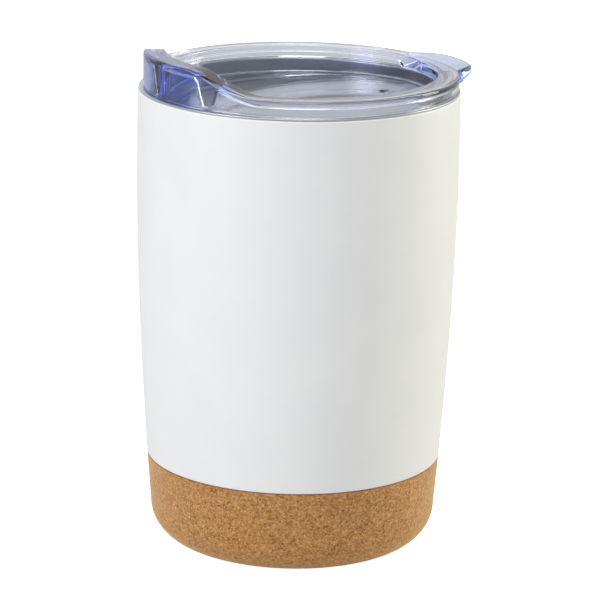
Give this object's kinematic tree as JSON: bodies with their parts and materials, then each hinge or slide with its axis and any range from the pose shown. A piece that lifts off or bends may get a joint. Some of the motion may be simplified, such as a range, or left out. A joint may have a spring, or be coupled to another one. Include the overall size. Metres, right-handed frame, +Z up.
{
  "type": "insulated travel cup",
  "caption": "Double-walled steel travel cup with a white coat, a cork base and a clear push-on lid with a raised drinking spout and thumb tab.",
  "frame": {"origin": "centre of the cork base's flat underside, on the cup's axis", "axes": "+Z up along the cup's axis, +X towards the lid's thumb tab, -X towards the drinking spout"},
  "size_m": [0.0873, 0.0822, 0.1286],
  "materials": {
    "coat": "satin white powder coat on steel",
    "steel": "bare brushed stainless steel",
    "seal_glass": "dark sealing glass bead",
    "getter": "matt pressed metal powder",
    "cork": "fine agglomerated cork, unvarnished",
    "lid_plastic": "clear moulded plastic with a faint blue tint, polished",
    "silicone": "translucent silicone"
  },
  "bodies": {
    "cup": {"outer_wall": "coat", "liner_wall": "steel", "liner_base": "steel", "outer_base": "steel", "vacuum_seal": "seal_glass", "getter_holder": "steel", "getter_pellet": "getter", "cork_base": "cork"},
    "seal": {"lid_gasket": "silicone"},
    "lid": {"lid_body": "lid_plastic"}
  },
  "joints": [
    {"name": "lid_lift", "type": "slide", "parent": "cup", "child": "seal", "axis": [0, 0, 1], "range_m": [0, 0.15]},
    {"name": "lid_turn", "type": "hinge", "parent": "seal", "child": "lid", "pos_m": [0, 0, 0.115], "axis": [0, 0, 1], "continuous": true}
  ]
}
